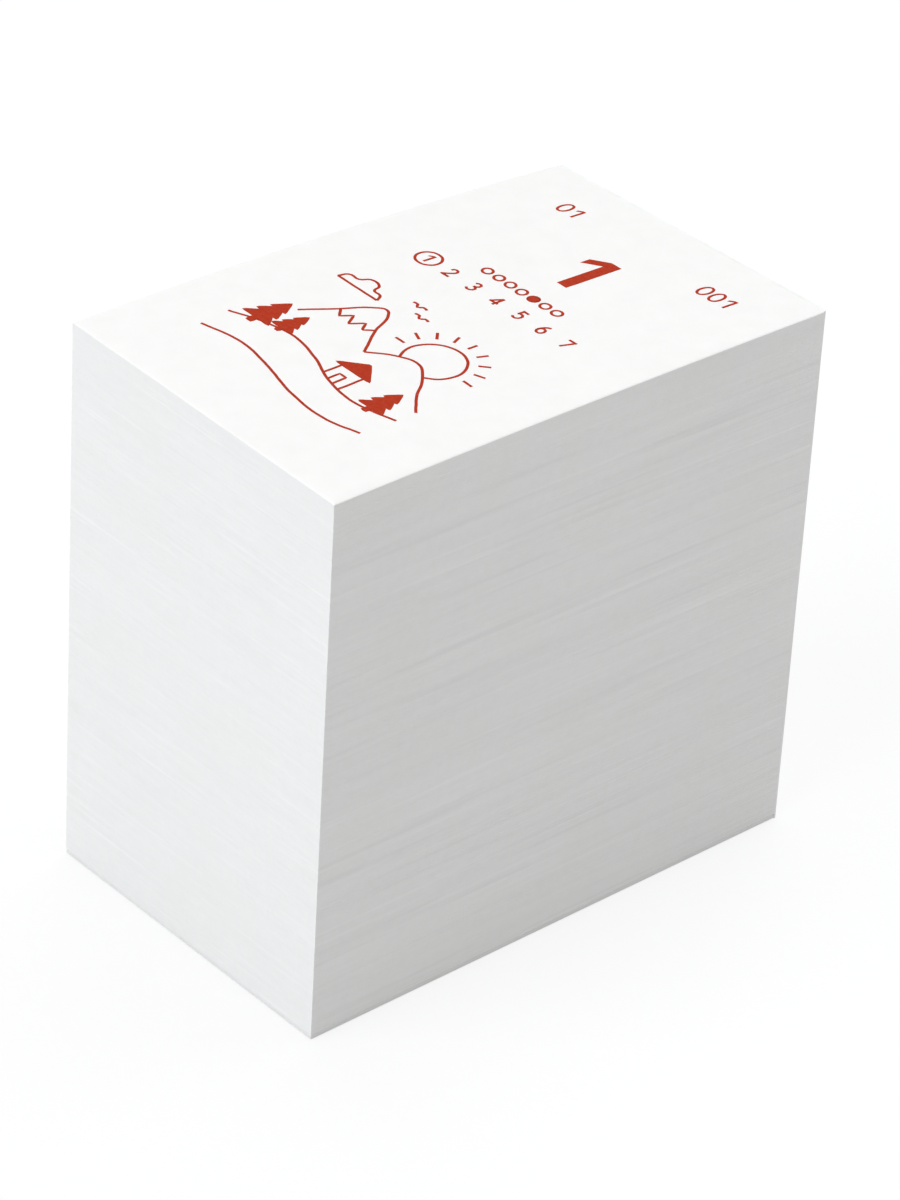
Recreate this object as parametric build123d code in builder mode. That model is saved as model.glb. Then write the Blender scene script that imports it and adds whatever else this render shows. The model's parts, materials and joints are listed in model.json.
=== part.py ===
from build123d import *
import os

# Tear-off day calendar: a block of day leaves, glued along the head of the page and backed with a card.
# X runs along the lines of print, Y up the page to the glued edge, and Z up through the leaves.
# The origin is the middle of the block's footprint, on the surface that the block lies on.

# Driving sizes, in millimetres
page_width = 34.5
page_height = 55.0
paper_thickness = 0.142
card_thickness = 0.5
glue_thickness = 0.4

# Air between one leaf and the next: the glue presses the leaves together, and their free edges stand looser
spine_gap = 0.002
free_gap = 0.006

# Days of a common year, and how many leaves at the top of the block are separate nodes
month_days = {
    "january": 31,
    "february": 28,
    "march": 31,
    "april": 30,
    "may": 31,
    "june": 30,
    "july": 31,
    "august": 31,
    "september": 30,
    "october": 31,
    "november": 30,
    "december": 31,
}
single_leaves = 7

# Where the left side of the page, its free edge, its glued edge and the outside of the glue stand
left_x = -page_width / 2
free_y = -(page_height + glue_thickness) / 2
spine_y = free_y + page_height
back_y = spine_y + glue_thickness
leaf_total = sum(month_days.values())
first_month = next(iter(month_days))
last_month = next(reversed(month_days))


def spine_level(leaves):
    """Height of a pile of so many leaves on the card, at the glued edge."""
    return card_thickness + leaves * (paper_thickness + spine_gap)


def free_level(leaves):
    """Height of the same pile at the free edge."""
    return card_thickness + leaves * (paper_thickness + free_gap)


def day_leaf(leaves_below, label):
    """One leaf of paper, on top of the leaves below it."""
    spine_z = spine_level(leaves_below)
    free_z = free_level(leaves_below)
    with BuildPart() as leaf:
        with BuildSketch(Plane.YZ.offset(left_x)):
            with BuildLine():
                Polyline(
                    (free_y, free_z),
                    (spine_y, spine_z),
                    (spine_y, spine_z + paper_thickness),
                    (free_y, free_z + paper_thickness),
                    close=True,
                )
            make_face()
        extrude(amount=page_width)
    leaf.part.label = label
    return leaf.part


def glue_length(low, high, label):
    """A length of the glue film on the glued edge, between two heights."""
    with BuildPart() as length:
        with BuildSketch(Plane.XY.offset(low)):
            with Locations((0, (spine_y + back_y) / 2)):
                Rectangle(page_width, glue_thickness)
        extrude(amount=high - low)
    length.part.label = label
    return length.part


def write(piece):
    """Write a piece to the STEP file that has its name."""
    export_step(piece, f"parts/{piece.label}.step")


os.makedirs("parts", exist_ok=True)

# Backing card under the last leaf of the year
with BuildPart() as backing_card:
    with BuildSketch():
        with Locations((0, (free_y + spine_y) / 2)):
            Rectangle(page_width, page_height)
    extrude(amount=card_thickness)
backing_card.part.label = "backing_card"
write(backing_card.part)

# Months from the card upwards, each with its leaves and its length of glue
leaves_below = 0
for month in reversed(month_days):
    days = month_days[month]
    first_day = single_leaves + 1 if month == first_month else 1
    leaves = [
        day_leaf(leaves_below + days - day, f"{month}_{day}")
        for day in range(days, first_day - 1, -1)
    ]
    write(Compound(label=f"{month}_leaves", children=leaves))

    # The lowest length of glue takes in the card's edge, and the highest stops under the top leaf
    low = 0 if month == last_month else spine_level(leaves_below)
    high = spine_level(leaves_below + days - 1 if month == first_month else leaves_below + days)
    write(glue_length(low, high, f"glue_{month}"))
    leaves_below += days

# The first leaves of the year, one by one, down from the top
for day in range(1, single_leaves + 1):
    write(day_leaf(leaf_total - day, f"day_leaf_{day}"))

# Bead of glue on the edge of the top leaf
top_underside = spine_level(leaf_total - 1)
write(glue_length(top_underside, top_underside + paper_thickness, "glue_top_leaf"))
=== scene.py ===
import json
import math
import bmesh
import bpy
from mathutils import Matrix, Vector, noise

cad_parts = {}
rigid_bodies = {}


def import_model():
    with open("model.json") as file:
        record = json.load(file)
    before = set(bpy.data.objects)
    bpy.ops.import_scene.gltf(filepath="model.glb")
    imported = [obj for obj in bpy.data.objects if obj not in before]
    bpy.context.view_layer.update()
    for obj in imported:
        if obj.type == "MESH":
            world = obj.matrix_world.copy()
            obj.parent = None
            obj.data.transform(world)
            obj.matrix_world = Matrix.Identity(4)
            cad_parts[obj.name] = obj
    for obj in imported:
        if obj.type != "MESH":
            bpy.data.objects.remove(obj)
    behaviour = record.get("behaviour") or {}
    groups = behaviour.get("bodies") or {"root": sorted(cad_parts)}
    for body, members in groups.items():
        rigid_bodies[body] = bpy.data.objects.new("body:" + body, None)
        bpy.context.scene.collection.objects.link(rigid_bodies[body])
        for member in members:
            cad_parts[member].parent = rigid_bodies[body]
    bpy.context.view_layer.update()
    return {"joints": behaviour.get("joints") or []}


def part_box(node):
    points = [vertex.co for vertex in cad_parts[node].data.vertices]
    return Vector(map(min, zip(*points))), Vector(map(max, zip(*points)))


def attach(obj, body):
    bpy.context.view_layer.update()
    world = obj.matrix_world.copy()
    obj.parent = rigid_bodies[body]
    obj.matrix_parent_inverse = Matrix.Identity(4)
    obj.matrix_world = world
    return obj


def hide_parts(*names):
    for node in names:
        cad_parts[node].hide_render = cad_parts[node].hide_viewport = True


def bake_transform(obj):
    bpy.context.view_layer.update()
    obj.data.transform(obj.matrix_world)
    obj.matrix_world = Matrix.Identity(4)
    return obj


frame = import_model()

# Backing card: a thin bleached board under the last leaf, which keeps the block flat.
# It is white right through, smooth on its faces and felted along its cut edges, which are pressed round.
# It is guillotined together with the leaves and held by the same glue at the head of the page.
mm = 0.001
card_low, card_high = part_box("backing_card")
card_columns = 12
card_rows = 20
card_arris = 0.14 * mm
arris_steps = 3
board_white = "#F7F7F6"
board_shade = "#F2F2F1"
pulp_pale = "#F5F5F5"
pulp_dark = "#E8E8E8"


def linear(hex_colour):
    """An sRGB hex colour as the linear RGBA that a shader takes."""
    channels = [int(hex_colour[start:start + 2], 16) / 255 for start in (1, 3, 5)]
    return [c / 12.92 if c <= 0.04045 else ((c + 0.055) / 1.055) ** 2.4 for c in channels] + [1.0]


def feed(tree, node, sockets):
    """Feeds a node's inputs with values, with outputs, or with the first output of the node that is given."""
    for key, value in sockets.items():
        if isinstance(value, bpy.types.Node):
            value = next(output for output in value.outputs if output.enabled)
        if isinstance(value, bpy.types.NodeSocket):
            tree.links.new(value, node.inputs[key])
        else:
            node.inputs[key].default_value = value


def add_node(tree, kind, sockets, **settings):
    """Adds a node with its settings, and feeds its inputs."""
    node = tree.nodes.new(kind)
    for name, value in settings.items():
        setattr(node, name, value)
    feed(tree, node, sockets)
    return node


def new_finish(name, sockets):
    """A new material, its node tree, its shader with those inputs set, and its Object coordinates."""
    material = bpy.data.materials.new(name)
    material.use_nodes = True
    tree = material.node_tree
    shader = tree.nodes["Principled BSDF"]
    feed(tree, shader, sockets)
    place = add_node(tree, "ShaderNodeTexCoord", {}).outputs["Object"]
    return material, tree, shader, place


def even_stops(low, high, steps):
    """Places from low to high, in even steps."""
    return [low + (high - low) * step / steps for step in range(steps + 1)]


def cut_sheet(name, across, along, underside, topside, finishes):
    """A guillotined sheet as a closed mesh over a grid of places: finishes are its faces' and its rim's."""
    shape = bmesh.new()
    foot = [[shape.verts.new((x, y, underside(x, y))) for x in across] for y in along]
    head = [[shape.verts.new((x, y, topside(x, y))) for x in across] for y in along]
    last_column = len(across) - 1
    last_row = len(along) - 1
    for row in range(last_row):
        for column in range(last_column):
            corners = [(row, column), (row, column + 1), (row + 1, column + 1), (row + 1, column)]
            shape.faces.new([head[r][c] for r, c in corners])
            shape.faces.new([foot[r][c] for r, c in reversed(corners)])
    rim = [(0, column) for column in range(last_column)]
    rim += [(row, last_column) for row in range(last_row)]
    rim += [(last_row, column) for column in range(last_column, 0, -1)]
    rim += [(row, 0) for row in range(last_row, 0, -1)]
    for (r, c), (next_r, next_c) in zip(rim, rim[1:] + rim[:1]):
        edge = shape.faces.new((foot[r][c], foot[next_r][next_c], head[next_r][next_c], head[r][c]))
        edge.material_index = 1
    mesh = bpy.data.meshes.new(name)
    shape.to_mesh(mesh)
    shape.free()
    for finish in finishes:
        mesh.materials.append(finish)
    return mesh


def new_piece(name, data):
    """An object at the origin that holds a finished mesh, a curve, a lamp or a camera."""
    piece = bpy.data.objects.new(name, data)
    bpy.context.scene.collection.objects.link(piece)
    return piece


# Board face: calendered smooth and faintly clouded, with short fibres pressed flat in its surface.
# The fibres are drawn wider than real ones, so that they show.
cloud_size = 7 * mm
fibre_length = 1.5 * mm
fibre_width = 0.22 * mm
fibre_bend = 0.8
card_face, tree, shader, place = new_finish("calendered_board", {"Roughness": 0.6, "IOR": 1.48})
cloud = add_node(tree, "ShaderNodeTexNoise", {"Vector": place, "Scale": 1 / cloud_size, "Detail": 3})
combed = add_node(tree, "ShaderNodeMapping", {
    "Vector": place, "Scale": (1 / fibre_length, 1 / fibre_width, 1 / fibre_width)})
fibre = add_node(tree, "ShaderNodeTexNoise", {
    "Vector": combed, "Scale": 1, "Detail": 3, "Distortion": fibre_bend})
both = add_node(tree, "ShaderNodeMath", {0: cloud, 1: fibre}, operation="ADD")
tone = add_node(tree, "ShaderNodeMapRange", {"Value": both, "From Min": 0.7, "From Max": 1.3})
base = add_node(tree, "ShaderNodeMix", {"Factor": tone, "A": linear(board_white), "B": linear(board_shade)},
                data_type="RGBA")
relief = add_node(tree, "ShaderNodeBump", {"Height": fibre, "Strength": 0.15, "Distance": 0.02 * mm})
feed(tree, shader, {"Base Color": base, "Normal": relief})

# Board edge: felted pulp, drawn out along the cut in thin layers.
layer_length = 3 * mm
layer_depth = 0.12 * mm
card_edge, tree, shader, place = new_finish("cut_board_edge", {"Roughness": 0.92, "IOR": 1.45})
layers = add_node(tree, "ShaderNodeMapping", {
    "Vector": place, "Scale": (1 / layer_length, 1 / layer_length, 1 / layer_depth)})
fibre = add_node(tree, "ShaderNodeTexNoise", {"Vector": layers, "Scale": 1, "Detail": 5})
base = add_node(tree, "ShaderNodeMix", {"Factor": fibre, "A": linear(pulp_pale), "B": linear(pulp_dark)},
                data_type="RGBA")
relief = add_node(tree, "ShaderNodeBump", {"Height": fibre, "Strength": 0.4, "Distance": 0.03 * mm})
feed(tree, shader, {"Base Color": base, "Normal": relief})

card_mesh = cut_sheet("board", even_stops(card_low.x, card_high.x, card_columns),
                      even_stops(card_low.y, card_high.y, card_rows),
                      lambda x, y: card_low.z, lambda x, y: card_high.z, [card_face, card_edge])
card = new_piece("board", card_mesh)
rounding = card.modifiers.new("arris", "BEVEL")
rounding.width = card_arris
rounding.segments = arris_steps
rounding.limit_method = "ANGLE"
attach(card, "block")
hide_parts("backing_card")

# Day leaves of the months: thin uncoated paper, one leaf a day, December at the foot and January on top.
# They are jogged square, glued at the head and guillotined, and their free edges stand a little looser.
# The cut edges show each leaf as a fine line, with soft streaks where a few leaves stand in or out; these are
# partly real ledges and partly painted shade and painted highlight in the edge's colour.
months = ["december", "november", "october", "september", "august", "july",
          "june", "may", "april", "march", "february", "january"]
month_days = [31, 30, 31, 30, 31, 31, 30, 31, 30, 31, 28, 31]
single_leaves = 7
leaf_total = sum(month_days)
top_low, top_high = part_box("day_leaf_1")
bead_low, bead_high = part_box("glue_top_leaf")
page_width = top_high.x - top_low.x
page_height = top_high.y - top_low.y
paper_thickness = bead_high.z - bead_low.z
spine_y = top_high.y
free_y = top_low.y
spine_pitch = (bead_low.z - card_high.z) / (leaf_total - 1)
free_pitch = (top_high.z - paper_thickness - card_high.z) / (leaf_total - 1)
leaf_columns = 5
leaf_rows = 7
jog_error = 0.006 * mm
jog_seed = 7
edge_wander = 0.012 * mm
wander_length = 9 * mm
wander_scale = 0.83
corner_twist = 0.4 * mm
page_arch = 0.4 * mm
arch_lean = 0.2 * mm
paper_white = "#FCFAF8"
paper_shade = "#F9F7F5"
edge_white = "#FAFAFA"
edge_shade = "#F5F5F5"
# The next two colours are painted light on the leaves' edges: a shade for leaves that stand back, and a
# highlight for leaves that stand out.
edge_painted_shade = "#E9E9E9"
edge_painted_highlight = "#FFFFFF"
edge_warm = "#F6F6EE"

# Uncoated offset paper: matt, nearly even white, faintly cloudy where the fibres lie thicker.
# Its tooth is drawn coarser than the real one, so that it shows.
floc_size = 2.2 * mm
tooth_size = 0.16 * mm
leaf_paper, tree, shader, place = new_finish("uncoated_paper", {"Roughness": 0.88, "IOR": 1.45})
floc = add_node(tree, "ShaderNodeTexNoise", {"Vector": place, "Scale": 1 / floc_size, "Detail": 4})
tone = add_node(tree, "ShaderNodeMapRange", {"Value": floc, "From Min": 0.3, "From Max": 0.7})
base = add_node(tree, "ShaderNodeMix", {"Factor": tone, "A": linear(paper_white), "B": linear(paper_shade)},
                data_type="RGBA")
tooth = add_node(tree, "ShaderNodeTexNoise", {"Vector": place, "Scale": 1 / tooth_size, "Detail": 2})
relief = add_node(tree, "ShaderNodeBump", {"Height": tooth, "Strength": 0.25, "Distance": 0.01 * mm})
feed(tree, shader, {"Base Color": base, "Normal": relief})

# Guillotined paper edges: felted by the knife, with soft streaks along the cut. Their grey is partly the
# cut's own uneven tone and partly painted shade and painted highlight of leaves that lie in or out.
# The streaks are long on the sides, and short and fainter on the free edge: that faintness is painted light,
# as light falls head-on on the free edge and grazes the sides. They follow the leaf's number.
# The fuzz of the cut is drawn coarser than the real one, so that it shows.
free_run = 10 * mm
side_run = 24 * mm
streak_leaves = 7
band_leaves = 22
shade_streak_leaves = 5
highlight_streak_leaves = 3
mottle_size = 0.7 * mm
mottle_share = 0.8
free_edge_share = 0.62
patch_size = 8 * mm
fuzz_size = 0.09 * mm
paper_edge, tree, shader, place = new_finish("guillotined_paper_edge", {"Roughness": 0.9, "IOR": 1.45})
leaf_number = add_node(tree, "ShaderNodeAttribute", {}, attribute_name="leaf").outputs["Fac"]
stretched = add_node(tree, "ShaderNodeMapping", {"Vector": place, "Scale": (1 / free_run, 1 / side_run, 0)})
apart = add_node(tree, "ShaderNodeSeparateXYZ", {"Vector": stretched}).outputs
drawn = []
for leaves in (streak_leaves, band_leaves, shade_streak_leaves, highlight_streak_leaves):
    through = add_node(tree, "ShaderNodeMath", {0: leaf_number, 1: leaves}, operation="DIVIDE")
    spread = add_node(tree, "ShaderNodeCombineXYZ", {"X": apart["X"], "Y": apart["Y"], "Z": through})
    drawn.append(add_node(tree, "ShaderNodeTexNoise", {"Vector": spread, "Scale": 1, "Detail": 2}))
streak, band, shade_streak_noise, highlight_streak_noise = drawn
facing = add_node(tree, "ShaderNodeSeparateXYZ", {
    "Vector": add_node(tree, "ShaderNodeNewGeometry", {}).outputs["True Normal"]}).outputs
# Painted light: the streaks are stronger on the sides, where light grazes the leaves, than on the free edge,
# which is lit head-on.
on_side = add_node(tree, "ShaderNodeMath", {0: facing["X"]}, operation="ABSOLUTE")
strength = add_node(tree, "ShaderNodeMapRange", {"Value": on_side, "To Min": free_edge_share, "To Max": 1})
mottle = add_node(tree, "ShaderNodeTexNoise", {"Vector": place, "Scale": 1 / mottle_size, "Detail": 2})
streaks = add_node(tree, "ShaderNodeMath", {0: streak, 1: band}, operation="ADD")
grain = add_node(tree, "ShaderNodeMath", {0: mottle, 1: mottle_share, 2: streaks}, operation="MULTIPLY_ADD")
# Painted shade together with the cut's own tone: the streaks swing the grey between a shaded grey and a lit
# white.
swing = add_node(tree, "ShaderNodeMapRange", {
    "Value": grain, "From Min": 1, "From Max": 1.8, "To Min": -0.5, "To Max": 0.5})
tone = add_node(tree, "ShaderNodeMath", {0: swing, 1: strength, 2: 0.5}, operation="MULTIPLY_ADD")
grey = add_node(tree, "ShaderNodeMix", {"Factor": tone, "A": linear(edge_shade), "B": linear(edge_white)},
                data_type="RGBA")
# Painted shade: where a few leaves stand back, the sides get a darker streak, as if shaded by the leaves over
# them.
painted_shade_depth = add_node(tree, "ShaderNodeMapRange", {
    "Value": shade_streak_noise, "From Min": 0.56, "From Max": 0.78, "To Max": 0.5})
side_painted_shade = add_node(tree, "ShaderNodeMath", {0: painted_shade_depth, 1: on_side}, operation="MULTIPLY")
streaks_with_shade = add_node(tree, "ShaderNodeMix", {"Factor": side_painted_shade, "A": grey, "B": linear(edge_painted_shade)},
                    data_type="RGBA")
# Painted highlight: where a few leaves stand out, their edges get a whiter streak, as if catching the light
# on their ledge.
painted_highlight_strength = add_node(tree, "ShaderNodeMapRange", {
    "Value": highlight_streak_noise, "From Min": 0.58, "From Max": 0.78, "To Max": 0.7})
streaks_with_highlight = add_node(tree, "ShaderNodeMix", {"Factor": painted_highlight_strength, "A": streaks_with_shade, "B": linear(edge_painted_highlight)},
                  data_type="RGBA")
patch = add_node(tree, "ShaderNodeTexNoise", {"Vector": place, "Scale": 1 / patch_size, "Detail": 2})
warmth = add_node(tree, "ShaderNodeMapRange", {
    "Value": patch, "From Min": 0.5, "From Max": 0.8, "To Max": 0.15})
base = add_node(tree, "ShaderNodeMix", {"Factor": warmth, "A": streaks_with_highlight, "B": linear(edge_warm)},
                data_type="RGBA")
fuzz = add_node(tree, "ShaderNodeTexNoise", {"Vector": place, "Scale": 1 / fuzz_size, "Detail": 1})
relief = add_node(tree, "ShaderNodeBump", {"Height": fuzz, "Strength": 0.25, "Distance": 0.01 * mm})
feed(tree, shader, {"Base Color": base, "Normal": relief})


def new_tree(name, inputs):
    """A Geometry Nodes tree with named inputs, what its inputs give, and its output node."""
    tree = bpy.data.node_groups.new(name, "GeometryNodeTree")
    for label, kind in inputs.items():
        tree.interface.new_socket(name=label, in_out="INPUT", socket_type="NodeSocket" + kind)
    tree.interface.new_socket(name="Geometry", in_out="OUTPUT", socket_type="NodeSocketGeometry")
    given = add_node(tree, "NodeGroupInput", {}).outputs
    result = add_node(tree, "NodeGroupOutput", {})
    return tree, given, result


def grow(piece, tree, values):
    """Runs a tree on an object with its named inputs set, and gives the plain mesh that comes out."""
    modifier = piece.modifiers.new(tree.name, "NODES")
    modifier.node_group = tree
    for item in tree.interface.items_tree:
        if item.in_out == "INPUT" and item.name in values:
            modifier[item.identifier] = values[item.name]
    depsgraph = bpy.context.evaluated_depsgraph_get()
    mesh = bpy.data.meshes.new_from_object(piece.evaluated_get(depsgraph), preserve_all_data_layers=True,
                                           depsgraph=depsgraph)
    piece.modifiers.remove(modifier)
    return mesh


tree, given, result = new_tree("leaf_stack", {
    "First Leaf": "Int", "Leaves": "Int", "Width": "Float", "Height": "Float", "Paper": "Float",
    "Foot": "Float", "Spine": "Float", "Spine Pitch": "Float", "Free Pitch": "Float", "Jog": "Float",
    "Wander": "Float", "Wander Length": "Float", "Seed": "Int", "Sheet": "Material", "Edge": "Material"})
leaf_stack = tree

# Every leaf has its place in the pile at the glued edge, and slips a little when the pile is jogged.
places = add_node(tree, "GeometryNodeMeshLine", {"Count": given["Leaves"], "Offset": (0, 0, 0)})
order = add_node(tree, "GeometryNodeInputIndex", {})
number = add_node(tree, "ShaderNodeMath", {0: order, 1: given["First Leaf"]}, operation="ADD")
slack = add_node(tree, "FunctionNodeRandomValue", {
    "Min": (-1, -1, 0), "Max": (1, 1, 0), "ID": number, "Seed": given["Seed"]}, data_type="FLOAT_VECTOR")
slip = add_node(tree, "ShaderNodeVectorMath", {0: slack, "Scale": given["Jog"]}, operation="SCALE")
level = add_node(tree, "ShaderNodeMath", {0: number, 1: given["Spine Pitch"], 2: given["Foot"]},
                 operation="MULTIPLY_ADD")
seat = add_node(tree, "ShaderNodeCombineXYZ", {"Y": given["Spine"], "Z": level})
jogged = add_node(tree, "GeometryNodeSetPosition", {"Geometry": places, "Position": seat, "Offset": slip})

# A leaf is a thin blank, hung there by its glued edge and turned up to the looser free edge.
flare = add_node(tree, "ShaderNodeMath", {0: given["Spine Pitch"], 1: given["Free Pitch"]},
                 operation="SUBTRACT")
rise = add_node(tree, "ShaderNodeMath", {0: number, 1: flare}, operation="MULTIPLY")
tilt = add_node(tree, "ShaderNodeMath", {0: rise, 1: given["Height"]}, operation="ARCTAN2")
turn = add_node(tree, "ShaderNodeCombineXYZ", {"X": tilt})
size = add_node(tree, "ShaderNodeCombineXYZ", {
    "X": given["Width"], "Y": given["Height"], "Z": given["Paper"]})
blank = add_node(tree, "GeometryNodeMeshCube", {
    "Size": size, "Vertices X": leaf_columns, "Vertices Y": leaf_rows, "Vertices Z": 2})
half = add_node(tree, "ShaderNodeVectorMath", {0: size, 1: (0, -0.5, 0.5)}, operation="MULTIPLY")
hung = add_node(tree, "GeometryNodeTransform", {"Geometry": blank, "Translation": half})
stacked = add_node(tree, "GeometryNodeInstanceOnPoints", {
    "Points": jogged, "Instance": hung, "Rotation": turn})
numbered = add_node(tree, "GeometryNodeStoreNamedAttribute", {
    "Geometry": stacked, "Name": "leaf", "Value": number}, data_type="FLOAT", domain="INSTANCE")
cut_leaves = add_node(tree, "GeometryNodeRealizeInstances", {"Geometry": numbered})

# Its edges wander by a hair, as the knife left them. The odd scale keeps leaf numbers off the noise's grid.
spot = add_node(tree, "ShaderNodeSeparateXYZ", {
    "Vector": add_node(tree, "GeometryNodeInputPosition", {})}).outputs
own_number = add_node(tree, "GeometryNodeInputNamedAttribute", {"Name": "leaf"}, data_type="FLOAT")
past_x = add_node(tree, "ShaderNodeMath", {0: spot["X"], 1: given["Wander Length"]}, operation="DIVIDE")
past_y = add_node(tree, "ShaderNodeMath", {0: spot["Y"], 1: given["Wander Length"]}, operation="DIVIDE")
past = add_node(tree, "ShaderNodeCombineXYZ", {"X": past_x, "Y": past_y, "Z": own_number})
ripple = add_node(tree, "ShaderNodeTexNoise", {"Vector": past, "Scale": wander_scale, "Detail": 1})
centred = add_node(tree, "ShaderNodeVectorMath", {0: ripple.outputs["Color"], 1: (-0.5, -0.5, -0.5)},
                   operation="ADD")
swing = add_node(tree, "ShaderNodeMath", {0: given["Wander"], 1: 2}, operation="MULTIPLY")
ways = add_node(tree, "ShaderNodeCombineXYZ", {"X": swing, "Y": swing})
drift = add_node(tree, "ShaderNodeVectorMath", {0: centred, 1: ways}, operation="MULTIPLY")
trimmed = add_node(tree, "GeometryNodeSetPosition", {"Geometry": cut_leaves, "Offset": drift})
facing = add_node(tree, "ShaderNodeSeparateXYZ", {
    "Vector": add_node(tree, "GeometryNodeInputNormal", {})}).outputs
upright = add_node(tree, "ShaderNodeMath", {0: facing["Z"]}, operation="ABSOLUTE")
is_cut = add_node(tree, "FunctionNodeCompare", {"A": upright, "B": 0.5},
                  data_type="FLOAT", operation="LESS_THAN")
faced = add_node(tree, "GeometryNodeSetMaterial", {"Geometry": trimmed, "Material": given["Sheet"]})
edged = add_node(tree, "GeometryNodeSetMaterial", {
    "Geometry": faced, "Selection": is_cut, "Material": given["Edge"]})
feed(tree, result, {"Geometry": edged})

parent_of = {joint["child"]: joint["parent"] for joint in frame["joints"]}


def settle(mesh):
    """Lays a piece of the flat block on the real one's arch and twist, which grow with the leaves below."""
    for vertex in mesh.vertices:
        side = vertex.co.x / (page_width / 2)
        along = (vertex.co.y - (spine_y + free_y) / 2) / (page_height / 2)
        arch = (page_arch - arch_lean * side) * (1 - along ** 2)
        share = max(0, vertex.co.z - card_high.z) / (top_high.z - card_high.z)
        vertex.co.z += share * (arch + corner_twist * side * along)


first_leaf = 0
pack_spans = {}
for month, days in zip(months, month_days):
    count = days - single_leaves if month == "january" else days
    pack_spans[month] = (first_leaf, count)
    pack = new_piece(f"{month}_pack", bpy.data.meshes.new(f"{month}_pack"))
    pack.data = grow(pack, leaf_stack, {
        "First Leaf": first_leaf, "Leaves": count, "Width": page_width, "Height": page_height,
        "Paper": paper_thickness, "Foot": card_high.z, "Spine": spine_y, "Spine Pitch": spine_pitch,
        "Free Pitch": free_pitch, "Jog": jog_error, "Wander": edge_wander, "Wander Length": wander_length,
        "Seed": jog_seed, "Sheet": leaf_paper, "Edge": paper_edge})
    settle(pack.data)
    if month in parent_of:
        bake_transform(pack)
    else:
        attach(pack, "block")
    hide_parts(f"{month}_leaves")
    first_leaf += count

# Padding glue: the film brushed over the head of the block, a length for each month and one for the top leaf.
# It is flexible white glue, dried to a milky skin that keeps the marks of the brush and of the leaves.
# It holds each leaf by its edge alone, so that a leaf tears off cleanly.
glue_milky = "#FDFCFB"
glue_clear = "#F4F3EF"
film_relief = 0.1 * mm
film_thinning = 0.16 * mm
thin_margin = 0.7 * mm
film_seam = 0.004 * mm
brush_mark = Vector((1.6, 0, 16)) * mm
film_columns = 60
film_row = 0.32 * mm

# Dried padding glue: milky where it lies thick and clearer where the brush left it thin.
# The wide marks of the brush show in its gloss, and the leaves under it as faint lines.
pool_size = 6 * mm
pool_share = 0.4
stroke_width = 1.4 * mm
stroke_length = 18 * mm
leaf_line_length = 9 * mm
leaf_line_depth = 0.3 * mm
padding_glue, tree, shader, place = new_finish("dried_padding_glue", {
    "IOR": 1.47, "Subsurface Weight": 0.08, "Subsurface Scale": 0.3 * mm})
pools = add_node(tree, "ShaderNodeTexNoise", {"Vector": place, "Scale": 1 / pool_size, "Detail": 3})
upright = add_node(tree, "ShaderNodeMapping", {
    "Vector": place, "Scale": (1 / stroke_width, 1 / stroke_length, 1 / stroke_length)})
brushed = add_node(tree, "ShaderNodeTexNoise", {"Vector": upright, "Scale": 1, "Detail": 2})
ruled = add_node(tree, "ShaderNodeMapping", {
    "Vector": place, "Scale": (1 / leaf_line_length, 1 / leaf_line_length, 1 / leaf_line_depth)})
leaf_lines = add_node(tree, "ShaderNodeTexNoise", {"Vector": ruled, "Scale": 1, "Detail": 2})
laid = add_node(tree, "ShaderNodeMath", {0: pools, 1: pool_share, 2: brushed}, operation="MULTIPLY_ADD")
both = add_node(tree, "ShaderNodeMath", {0: leaf_lines, 1: laid}, operation="ADD")
tone = add_node(tree, "ShaderNodeMapRange", {"Value": both, "From Min": 0.85, "From Max": 1.55})
base = add_node(tree, "ShaderNodeMix", {"Factor": tone, "A": linear(glue_clear), "B": linear(glue_milky)},
                data_type="RGBA")
gloss = add_node(tree, "ShaderNodeMapRange", {
    "Value": brushed, "From Min": 0.3, "From Max": 0.7, "To Min": 0.5, "To Max": 0.28})
wash = add_node(tree, "ShaderNodeBump", {"Height": brushed, "Strength": 0.6, "Distance": 0.08 * mm})
relief = add_node(tree, "ShaderNodeBump", {
    "Height": leaf_lines, "Strength": 0.5, "Distance": 0.03 * mm, "Normal": wash})
feed(tree, shader, {"Base Color": base, "Roughness": gloss, "Normal": relief})


def glue_film(name, node):
    """A length of the film in place of its solid: brushed on its outside, and thinner at the page's sides."""
    low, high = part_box(node)

    def outside(x, z):
        ridge = noise.noise((x / brush_mark.x, 0, z / brush_mark.z))
        side = min(x - low.x, high.x - x)
        thinned = max(0, 1 - side / thin_margin) ** 2
        return high.y - film_relief * (0.5 + 0.5 * ridge) - film_thinning * thinned

    rows = max(1, round((high.z - low.z) / film_row))
    mesh = cut_sheet(name, even_stops(low.x, high.x, film_columns),
                     even_stops(low.z + film_seam, high.z, rows),
                     lambda x, z: -outside(x, z), lambda x, z: -low.y, [padding_glue, padding_glue])
    mesh.transform(Matrix.Rotation(math.pi / 2, 4, "X"))
    settle(mesh)
    film = new_piece(name, mesh)
    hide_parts(node)
    return film


for month, (first_leaf, count) in pack_spans.items():
    film = glue_film(f"{month}_film", f"glue_{month}")
    if month in parent_of:
        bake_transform(film)
    else:
        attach(film, "block")
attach(glue_film("top_leaf_film", "glue_top_leaf"), "top_leaf_glue")

# Day leaves of the first week: the seven leaves on top, which lift and tear off one by one.
# They are the same paper as the rest, pinched a little along their cut edges by the guillotine.
# Each is held by the glue at the head, and its mesh is finer close to the head, where the real leaf bends up.
pinch = 0.008 * mm
pinch_margin = 1.0 * mm
pinch_stops = (0, 0.04, 0.1, 0.18, 0.36, 0.62)
knife_round = 0.06 * mm
round_margin = 0.18 * mm
top_bend = 14 * mm
bend_steps = 20
plain_steps = 12
left_x = top_low.x
right_x = top_high.x


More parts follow.
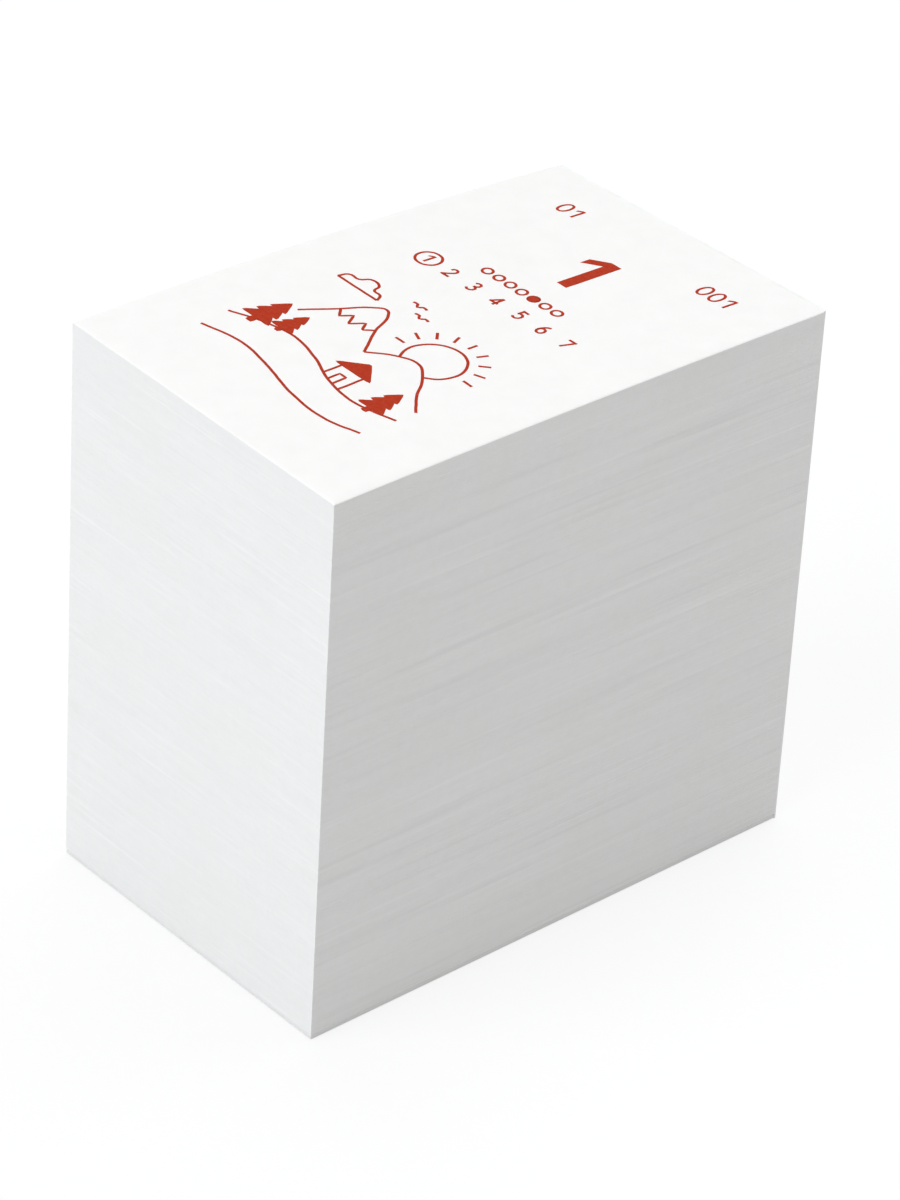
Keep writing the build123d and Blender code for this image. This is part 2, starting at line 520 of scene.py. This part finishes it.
def page_level(leaves_below, y):
    """The height of a leaf's underside at a place along the page, with that many leaves below it."""
    flare = leaves_below * (free_pitch - spine_pitch)
    return card_high.z + leaves_below * spine_pitch + flare * (spine_y - y) / page_height


def pinched(x, y, margin):
    """How strongly the knife pressed a place: fully at the three cut edges, and not at all past a margin."""
    edge = min(x - left_x, right_x - x, y - free_y)
    return max(0, 1 - edge / margin) ** 2


def day_sheet(name, day):
    """A day's leaf on those below it, with its number. The top leaf's upper arris is rounded by the knife."""
    leaves_below = leaf_total - day

    def underside(x, y):
        return page_level(leaves_below, y) - pinch * (single_leaves - day) * pinched(x, y, pinch_margin)

    def topside(x, y):
        rounded = knife_round * pinched(x, y, round_margin) if day == 1 else 0
        return underside(x, y) + paper_thickness - pinch * pinched(x, y, pinch_margin) - rounded

    across = [left_x + pinch_margin * stop for stop in pinch_stops]
    across += even_stops(left_x + pinch_margin, right_x - pinch_margin, plain_steps)
    across += [right_x - pinch_margin * stop for stop in reversed(pinch_stops)]
    along = [free_y + pinch_margin * stop for stop in pinch_stops]
    along += even_stops(free_y + pinch_margin, spine_y - top_bend, plain_steps)
    along += even_stops(spine_y - top_bend, spine_y, bend_steps)[1:]
    mesh = cut_sheet(name, across, along, underside, topside, [leaf_paper, paper_edge])
    settle(mesh)
    numbers = mesh.attributes.new("leaf", "FLOAT", "POINT")
    numbers.data.foreach_set("value", [leaves_below] * len(mesh.vertices))
    return mesh


for day in range(single_leaves, 0, -1):
    name = f"day_{day}_sheet"
    leaf = new_piece(name, day_sheet(name, day))
    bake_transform(leaf)
    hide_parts(f"day_leaf_{day}")

# Print on the leaves: one vermilion ink, laid on the paper by offset in a film too thin to feel.
# Each leaf has its date in numbers, a ring for each day of the week and a small pen drawing.
# The places below are on the page, in millimetres, from its middle to the right and up to the glue.
pen_width = 0.28
pen_wobble = 0.14
wobble_length = 1.8
pen_step = 0.25
nib_sides = 6
ink_height = 0.012
ink_colour = "#B13216"
ink_thin = "#BB3E22"
month_number = 1
month_place = (-9.3, 21.8)
count_place = (10.1, 21.3)
day_place = (0.4, 14.7)
small_height = 1.8
day_height = 6.5
day_weight = 1.25
week_days = 7
week_y = 7.7
week_step = 1.5
week_ring = 0.5
first_weekday = 4
row_y = 4.8
row_step = 3.0
row_height = 1.45
row_ring = 1.2

# Offset ink: flat and matt, with a faint mottle where the paper took less of it.
ink_mottle = 0.35 * mm
ink, tree, shader, place = new_finish("vermilion_offset_ink", {
    "Roughness": 0.75, "IOR": 1.48, "Specular IOR Level": 0.12})
mottle = add_node(tree, "ShaderNodeTexNoise", {"Vector": place, "Scale": 1 / ink_mottle, "Detail": 3})
tone = add_node(tree, "ShaderNodeMapRange", {"Value": mottle, "From Min": 0.4, "From Max": 0.75})
base = add_node(tree, "ShaderNodeMix", {"Factor": tone, "A": linear(ink_colour), "B": linear(ink_thin)},
                data_type="RGBA")
relief = add_node(tree, "ShaderNodeBump", {"Height": mottle, "Strength": 0.2, "Distance": 0.005 * mm})
feed(tree, shader, {"Base Color": base, "Normal": relief})

tree, given, result = new_tree("pen_line", {
    "Strokes": "Geometry", "Width": "Float", "Height": "Float", "Step": "Float", "Wobble": "Float",
    "Wobble Length": "Float", "Ink": "Material"})
pen_line = tree

# The pen shakes a little on its way, and its round line is pressed flat into a film of ink.
steps = add_node(tree, "GeometryNodeResampleCurve", {"Curve": given["Strokes"], "Length": given["Step"]},
                 mode="LENGTH")
spot = add_node(tree, "GeometryNodeInputPosition", {})
rate = add_node(tree, "ShaderNodeMath", {0: 1, 1: given["Wobble Length"]}, operation="DIVIDE")
shake = add_node(tree, "ShaderNodeTexNoise", {"Vector": spot, "Scale": rate, "Detail": 1})
centred = add_node(tree, "ShaderNodeVectorMath", {0: shake.outputs["Color"], 1: (-0.5, -0.5, -0.5)},
                   operation="ADD")
ways = add_node(tree, "ShaderNodeCombineXYZ", {"X": given["Wobble"], "Y": given["Wobble"]})
offset = add_node(tree, "ShaderNodeVectorMath", {0: centred, 1: ways}, operation="MULTIPLY")
hand = add_node(tree, "GeometryNodeSetPosition", {"Geometry": steps, "Offset": offset})
nib = add_node(tree, "GeometryNodeCurvePrimitiveCircle", {"Resolution": nib_sides, "Radius": given["Width"]})
line = add_node(tree, "GeometryNodeCurveToMesh", {"Curve": hand, "Profile Curve": nib, "Fill Caps": True})
flat = add_node(tree, "ShaderNodeMath", {0: given["Height"], 1: given["Width"]}, operation="DIVIDE")
press = add_node(tree, "ShaderNodeCombineXYZ", {"X": 1, "Y": 1, "Z": flat})
pressed = add_node(tree, "ShaderNodeVectorMath", {0: spot, 1: press}, operation="MULTIPLY")
laid = add_node(tree, "GeometryNodeSetPosition", {"Geometry": line, "Position": pressed})
whole = add_node(tree, "GeometryNodeRealizeInstances", {"Geometry": laid})
inked = add_node(tree, "GeometryNodeSetMaterial", {"Geometry": whole, "Material": given["Ink"]})
feed(tree, result, {"Geometry": inked})


# A stroke is a kind and its places. A line and a frame run straight, a curve and a loop smoothly.
# A frame and a loop are closed, a solid is a frame filled with ink, and a patch is such a fill alone.
def oval(x, y, wide, high, start, stop, count):
    """Places round an oval or part of one, in degrees from its right side."""
    turns = [math.radians(angle) for angle in even_stops(start, stop, count - 1)]
    return [(x + wide * math.cos(turn), y + high * math.sin(turn)) for turn in turns]


def ring(x, y, radius):
    """A closed ring as a pen stroke."""
    return "loop", oval(x, y, radius, radius, 0, 315, 8)


def pine(x, y, height):
    """A solid pine on a short trunk, with its foot at a place."""
    half = [(0, 1), (0.2, 0.66), (0.1, 0.66), (0.29, 0.38), (0.14, 0.38), (0.38, 0.1), (0.06, 0.1),
            (0.06, -0.08)]
    right = [(x + across * height, y + up * height) for across, up in half]
    return "solid", right + [(2 * x - px, py) for px, py in reversed(right[1:])]


def sunrise():
    """The sun coming up between two hills, with a hut and pines in front."""
    sun_x, sun_y, sun_radius = 4.9, -6.6, 2.9
    strokes = [("curve", oval(sun_x, sun_y, sun_radius, sun_radius, -58, 217, 12))]
    for turn in even_stops(0, 180, 8):
        away = math.cos(math.radians(turn)), math.sin(math.radians(turn))
        strokes.append(("line", [(sun_x + away[0] * reach, sun_y + away[1] * reach) for reach in (3.8, 4.9)]))
    strokes += [
        ("curve", [(-8.2, -10.6), (-6.4, -7.6), (-4.9, -4.9), (-4.0, -4.2), (-3.1, -4.8), (-1.8, -7.3),
                   (0.4, -10.4)]),
        ("line", [(-6.3, -7.4), (-5.4, -8.3), (-4.8, -7.2), (-4.0, -8.5), (-3.2, -7.2), (-2.5, -8.2),
                  (-1.8, -7.3)]),
        ("curve", [(0.4, -10.4), (2.4, -8.6), (4.4, -7.9), (6.5, -9.2), (8.6, -11.6), (10.4, -13.2)]),
        ("curve", [(-10.9, -3.9), (-10.5, -2.9), (-9.4, -2.8), (-8.7, -1.9), (-7.5, -2.1), (-7.1, -3.0),
                   (-6.2, -3.1), (-5.7, -3.9)]),
        ("line", [(-10.9, -3.9), (-5.7, -3.9)]),
        ("curve", [(-11.4, -15.6), (-8.2, -14.3), (-4.8, -13.7), (-1.2, -14.5), (2.2, -15.8), (6, -16.4),
                   (10.4, -15.4)]),
        ("curve", [(-11.0, -18.9), (-7.0, -18.0), (-2.5, -18.6), (2.4, -19.8), (6.8, -20.0), (10.2, -19.1)]),
        ("line", [(1.0, -15.4), (1.0, -13.3)]),
        ("line", [(3.8, -16.1), (3.8, -13.3)]),
        ("solid", [(0.3, -13.3), (2.4, -11.4), (4.5, -13.3)]),
        ("line", [(2.0, -15.7), (2.0, -14.4), (2.8, -14.4), (2.8, -15.9)]),
        pine(-9.2, -14.8, 4.4), pine(-6.6, -14.0, 3.3), pine(7.6, -16.2, 3.9)]
    wings = [(-0.9, 0.3), (-0.4, 0.4), (0, 0), (0.4, 0.4), (0.9, 0.3)]
    for x, y in ((-1.3, -2.9), (-2.9, -1.7)):
        strokes.append(("curve", [(x + across, y + up) for across, up in wings]))
    return strokes


def teacup():
    """A cup of tea on its saucer, steaming."""
    strokes = [
        ("loop", oval(-1, -6.4, 5.4, 1.2, 0, 330, 12)),
        ("curve", [(-6.4, -6.4), (-5.9, -9.8), (-4.2, -12.8), (-1, -13.9), (2.2, -12.8), (3.9, -9.8),
                   (4.4, -6.4)]),
        ("curve", [(4.2, -7.6), (6.3, -7.3), (7.2, -9.0), (6.0, -10.9), (3.5, -10.9)]),
        ("curve", oval(-1, -13.8, 8.6, 2.6, 152, 388, 12)),
        ("curve", oval(-1, -14.3, 8.8, 3.0, 165, 375, 12))]
    for x in (-3.2, -1.0, 1.2):
        strokes.append(("curve", [(x, -4.2), (x - 0.6, -3.3), (x + 0.4, -2.3), (x - 0.2, -1.3)]))
    return strokes


def kite():
    """A kite on its line, with bows along its tail."""
    strokes = [
        ("frame", [(2.5, -1.4), (6.9, -5.6), (1.4, -11.8), (-2.3, -4.6)]),
        ("line", [(2.5, -1.4), (1.4, -11.8)]),
        ("line", [(-2.3, -4.6), (6.9, -5.6)]),
        ("curve", [(1.4, -11.8), (0.2, -13.2), (0.9, -14.8), (-0.9, -16.2), (-0.2, -17.9), (-2.4, -19.2)]),
        ("curve", [(2.2, -5.1), (-2.8, -9.4), (-7.2, -15.4), (-10.6, -19.9)])]
    bow = [(-0.9, 0.5), (0.9, -0.5), (0.9, 0.5), (-0.9, -0.5)]
    for x, y in ((0.7, -14.4), (-0.6, -16.9)):
        strokes.append(("solid", [(x + across, y + up) for across, up in bow]))
    return strokes


def plant():
    """A leafy plant in a clay pot."""
    root_x, root_y = -0.1, -13.0
    blade = [(0, 0), (0.3, 0.09), (0.7, 0.1), (1, 0), (0.7, -0.1), (0.3, -0.09)]
    rib = [(0, 0), (0.75, 0)]
    strokes = [
        ("frame", [(-4.4, -13.2), (4.2, -13.2), (4.2, -14.7), (-4.4, -14.7)]),
        ("line", [(-3.6, -14.7), (-2.6, -20.0), (2.4, -20.0), (3.4, -14.7)])]
    for lean, reach in ((-62, 7.2), (-34, 9.6), (-6, 11.2), (24, 9.8), (54, 7.4)):
        away = math.sin(math.radians(lean)), math.cos(math.radians(lean))
        for kind, shape in (("loop", blade), ("line", rib)):
            places = [(root_x + reach * (out * away[0] + wide * away[1]),
                       root_y + reach * (out * away[1] - wide * away[0])) for out, wide in shape]
            strokes.append((kind, places))
    return strokes


def boat():
    """A small sailing boat on the waves."""
    strokes = [
        ("line", [(-0.6, -2.0), (-0.6, -14.2)]),
        ("frame", [(-1.2, -3.4), (-1.2, -12.8), (-7.4, -12.8)]),
        ("frame", [(0, -4.4), (0, -12.8), (5.0, -12.8)]),
        ("frame", [(-8.4, -14.2), (7.4, -14.2), (5.2, -17.2), (-6.2, -17.2)]),
        ("solid", [(-0.6, -2.0), (-0.6, -3.2), (1.9, -2.5)])]
    for y, shift in ((-18.0, 0), (-19.8, 1.4)):
        crests = [(-11 + shift + 1.4 * step, y + (0.4 if step % 2 else -0.3)) for step in range(15)]
        strokes.append(("curve", crests))
    return strokes


def umbrella():
    """An open umbrella in the rain."""
    strokes = [
        ("curve", oval(-0.5, -10.6, 8.4, 7.6, 0, 180, 11)),
        ("line", [(-0.5, -3.0), (-0.5, -1.6)]),
        ("line", [(-0.5, -10.2), (-0.5, -18.6)]),
        ("curve", [(-0.5, -18.6), (-0.1, -19.8), (1.2, -19.8), (1.6, -18.6)])]
    for x in (-7.5, -3.7, 0.3, 4.1):
        strokes.append(("curve", oval(x + 1.4, -10.8, 1.9, 1.0, 170, 10, 6)))
    for x, y in ((-9.6, -14.0), (-6.0, -16.2), (4.6, -15.0), (8.2, -13.2), (7.0, -18.0), (-8.6, -19.0)):
        strokes.append(("line", [(x, y), (x - 0.5, y - 1.5)]))
    return strokes


def pear():
    """Two pears with a leaf."""
    ground = -19.6
    half = [(0, 0), (1.5, -0.7), (2.1, -3.2), (3.9, -6.0), (4.1, -9.2), (2.0, -11.4), (0, -11.2)]
    strokes = []
    for x, size in ((-4.0, 1.0), (4.6, 0.82)):
        stem = ground + size * 12.6
        right = [(x + size * out, ground + size * (12.6 + up)) for out, up in half]
        strokes.append(("loop", right + [(2 * x - px, py) for px, py in reversed(right[1:-1])]))
        strokes.append(("curve", [(x, stem - 0.2), (x + 0.2, stem + 1.4), (x + 0.9, stem + 2.6)]))
    strokes.append(("solid", [(-3.6, -5.4), (-2.2, -4.2), (-0.2, -3.9), (1.2, -4.4), (0, -5.4),
                              (-2.0, -5.8)]))
    return strokes


def figures(text, height, place):
    """Numbers as pen strokes in one weight, centred on their place."""
    shapes = {
        "0": [("loop", oval(0.28, 0.5, 0.28, 0.5, 0, 330, 12))],
        "1": [("patch", [(0.36, 1), (0.26, 1), (0.01, 0.82), (0.01, 0.65), (0.36, 0.9)]),
              ("line", [(0.36, 1), (0.36, 0)])],
        "2": [("curve", [(0.03, 0.74), (0.1, 0.93), (0.29, 1), (0.48, 0.9), (0.5, 0.7), (0.34, 0.4),
                         (0.05, 0.04)]),
              ("line", [(-0.07, 0), (0.6, 0)])],
        "3": [("curve", [(0.04, 0.85), (0.22, 1), (0.43, 0.95), (0.49, 0.77), (0.4, 0.6), (0.2, 0.54)]),
              ("curve", [(0.2, 0.54), (0.45, 0.47), (0.54, 0.27), (0.43, 0.06), (0.22, 0), (0.02, 0.13)])],
        "4": [("line", [(0.42, 0), (0.42, 1)]),
              ("line", [(0.38, 0.92), (0.02, 0.28)]),
              ("line", [(-0.08, 0.28), (0.62, 0.28)])],
        "5": [("line", [(0.52, 1), (0.0, 1)]),
              ("line", [(0.1, 1), (0.08, 0.5)]),
              ("curve", [(0.05, 0.54), (0.25, 0.64), (0.46, 0.56), (0.54, 0.33), (0.44, 0.08), (0.22, 0),
                         (0.02, 0.12)])],
        "6": [("curve", [(0.46, 0.98), (0.26, 0.86), (0.1, 0.62), (0.03, 0.32)]),
              ("loop", oval(0.29, 0.3, 0.26, 0.3, 0, 330, 12))],
        "7": [("line", [(-0.02, 1), (0.62, 1)]),
              ("line", [(0.5, 0.96), (0.16, 0)])]}
    figure_step = 0.82
    figure_width = 0.56
    left = place[0] - height * (figure_step * (len(text) - 1) + figure_width) / 2
    foot = place[1] - height / 2
    strokes = []
    for order, figure in enumerate(text):
        start = order * figure_step
        for kind, places in shapes[figure]:
            strokes.append((kind, [(left + height * (start + x), foot + height * y) for x, y in places]))
    return strokes


def pen_paths(strokes):
    """Strokes as a curve object for the pen to follow, without the patches."""
    paths = bpy.data.curves.new("pen_strokes", "CURVE")
    paths.dimensions = "3D"
    for kind, places in strokes:
        if kind == "patch":
            continue
        smooth = kind in ("curve", "loop")
        spline = paths.splines.new("BEZIER" if smooth else "POLY")
        points = spline.bezier_points if smooth else spline.points
        points.add(len(places) - 1)
        for point, (x, y) in zip(points, places):
            point.co = (x * mm, y * mm, 0) if smooth else (x * mm, y * mm, 0, 1)
            if smooth:
                point.handle_left_type = "AUTO"
                point.handle_right_type = "AUTO"
        spline.use_cyclic_u = kind in ("loop", "frame", "solid")
    return new_piece("pen_strokes", paths)


def filled(places):
    """A filled shape as a thin closed mesh."""
    shape = bmesh.new()
    foot = [shape.verts.new((x * mm, y * mm, -ink_height * mm)) for x, y in places]
    head = [shape.verts.new((x * mm, y * mm, ink_height * mm)) for x, y in places]
    shape.faces.new(foot)
    shape.faces.new(head)
    for side in range(len(places)):
        shape.faces.new((foot[side - 1], foot[side], head[side], head[side - 1]))
    bmesh.ops.recalc_face_normals(shape, faces=shape.faces)
    bmesh.ops.triangulate(shape, faces=shape.faces)
    mesh = bpy.data.meshes.new("filled")
    shape.to_mesh(mesh)
    shape.free()
    return mesh


drawings = [sunrise, teacup, kite, plant, boat, umbrella, pear]
row = [row_step * (order - (single_leaves - 1) / 2) for order in range(single_leaves)]
week = [week_step * (order - (week_days - 1) / 2) for order in range(week_days)]
for day, drawing in enumerate(drawings, start=1):
    strokes = drawing()
    strokes.append(ring(row[day - 1], row_y, row_ring))
    for weekday, x in enumerate(week):
        strokes.append(ring(x, week_y, week_ring))
        if weekday == (first_weekday + day - 1) % week_days:
            strokes.append(("solid", oval(x, week_y, week_ring, week_ring, 0, 345, 24)))
    strokes += figures(f"{month_number:02}", small_height, month_place)
    strokes += figures(f"{day:03}", small_height, count_place)
    for number, x in enumerate(row, start=1):
        strokes += figures(str(number), row_height, (x, row_y))
    date = figures(str(day), day_height, day_place)
    meshes = [filled(places) for kind, places in strokes + date if kind in ("solid", "patch")]
    for penned, width, wobble in ((strokes, pen_width, pen_wobble), (date, day_weight, 0)):
        pen = pen_paths(penned)
        meshes.append(grow(pen, pen_line, {
            "Width": width / 2 * mm, "Height": ink_height * mm, "Step": pen_step * mm, "Wobble": wobble * mm,
            "Wobble Length": wobble_length * mm, "Ink": ink}))
        bpy.data.objects.remove(pen)
    joined = bmesh.new()
    for mesh in meshes:
        joined.from_mesh(mesh)
    for vertex in joined.verts:
        vertex.co.z += page_level(leaf_total - day, vertex.co.y) + paper_thickness
    mesh = bpy.data.meshes.new(f"day_{day}_print")
    joined.to_mesh(mesh)
    joined.free()
    settle(mesh)
    mesh.shade_flat()
    mesh.materials.append(ink)
    printing = new_piece(f"day_{day}_print", mesh)
    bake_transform(printing)

# Floor, light and camera: a pale floor under plain soft light, with the camera where the photograph has it.
# A broad low lamp in front lights the free edge, one behind lights the page, and the sky fills the rest.
floor_size = 6.0
floor_drop = 0.02 * mm
floor_colour = "#CCCBC9"
floor_seen = "#909090"
floor_glow = 0.73
front_way = Vector((-0.14, -0.86, 0.48))
front_strength = 1.38
back_way = Vector((-0.1, 0.46, 0.88))
back_strength = 1.03
lamp_colour = "#F6FBFF"
lamp_spread = math.radians(60)
sky_colour = "#FFFEFD"
sky_seen = "#FFFFFF"
sky_strength = 0.535
camera_azimuth = math.radians(47.39)
camera_elevation = math.radians(32.77)
camera_roll = math.radians(3.34)
camera_distance = 472.7 * mm
camera_aim = Vector((1.22, 0.26, 25.87)) * mm
image_height = 1200
focal_pixels = 5374
sensor_height = 36

floor_shape = bmesh.new()
bmesh.ops.create_grid(floor_shape, x_segments=1, y_segments=1, size=floor_size / 2,
                      matrix=Matrix.Translation((0, 0, -floor_drop)))
floor_mesh = bpy.data.meshes.new("floor")
floor_shape.to_mesh(floor_mesh)
floor_shape.free()
floor = new_piece("floor", floor_mesh)


def seen_directly(tree):
    """One where a ray comes straight from the camera, a mirror or glass, and nothing elsewhere."""
    path = add_node(tree, "ShaderNodeLightPath", {}).outputs
    either = add_node(tree, "ShaderNodeMath", {0: path["Is Camera Ray"], 1: path["Is Glossy Ray"]},
                      operation="MAXIMUM")
    return add_node(tree, "ShaderNodeMath", {0: either, 1: path["Is Transmission Ray"]}, operation="MAXIMUM")


floor_finish = bpy.data.materials.new("pale_floor")
floor_finish.use_nodes = True
tree = floor_finish.node_tree
tree.nodes.remove(tree.nodes["Principled BSDF"])
matt = add_node(tree, "ShaderNodeBsdfDiffuse", {"Color": linear(floor_colour)})
shadowed = add_node(tree, "ShaderNodeBsdfDiffuse", {"Color": linear(floor_seen)})
glow = add_node(tree, "ShaderNodeEmission", {"Strength": floor_glow})
backdrop = add_node(tree, "ShaderNodeAddShader", {0: shadowed, 1: glow})
choice = add_node(tree, "ShaderNodeMixShader", {0: seen_directly(tree), 1: matt, 2: backdrop})
feed(tree, tree.nodes["Material Output"], {"Surface": choice})
floor_mesh.materials.append(floor_finish)

sky = bpy.data.worlds.new("sky")
sky.use_nodes = True
tree = sky.node_tree
fill = tree.nodes["Background"]
feed(tree, fill, {"Color": linear(sky_colour), "Strength": sky_strength})
white = add_node(tree, "ShaderNodeBackground", {"Color": linear(sky_seen), "Strength": 1})
choice = add_node(tree, "ShaderNodeMixShader", {0: seen_directly(tree), 1: fill, 2: white})
feed(tree, tree.nodes["World Output"], {"Surface": choice})
bpy.context.scene.world = sky

lamps = {"front_lamp": (front_way, front_strength), "back_lamp": (back_way, back_strength)}
for name, (way, lamp_strength) in lamps.items():
    light = bpy.data.lights.new(name, "SUN")
    light.energy = lamp_strength
    light.color = linear(lamp_colour)[:3]
    light.angle = lamp_spread
    lamp = new_piece(name, light)
    lamp.rotation_euler = way.to_track_quat("Z", "Y").to_euler()

back = Vector((math.sin(camera_azimuth) * math.cos(camera_elevation),
               -math.cos(camera_azimuth) * math.cos(camera_elevation), math.sin(camera_elevation)))
level_right = Vector((math.cos(camera_azimuth), math.sin(camera_azimuth), 0))
level_up = back.cross(level_right)
right = level_right * math.cos(camera_roll) + level_up * math.sin(camera_roll)
up = back.cross(right)
lens = bpy.data.cameras.new("camera")
lens.sensor_fit = "VERTICAL"
lens.sensor_height = sensor_height
lens.lens = focal_pixels / image_height * sensor_height
camera = new_piece("camera", lens)
camera.matrix_world = Matrix.Translation(camera_aim + back * camera_distance) @ Matrix(
    (right, up, back)).transposed().to_4x4()
bpy.context.scene.camera = camera

bpy.context.scene.view_settings.view_transform = "Standard"
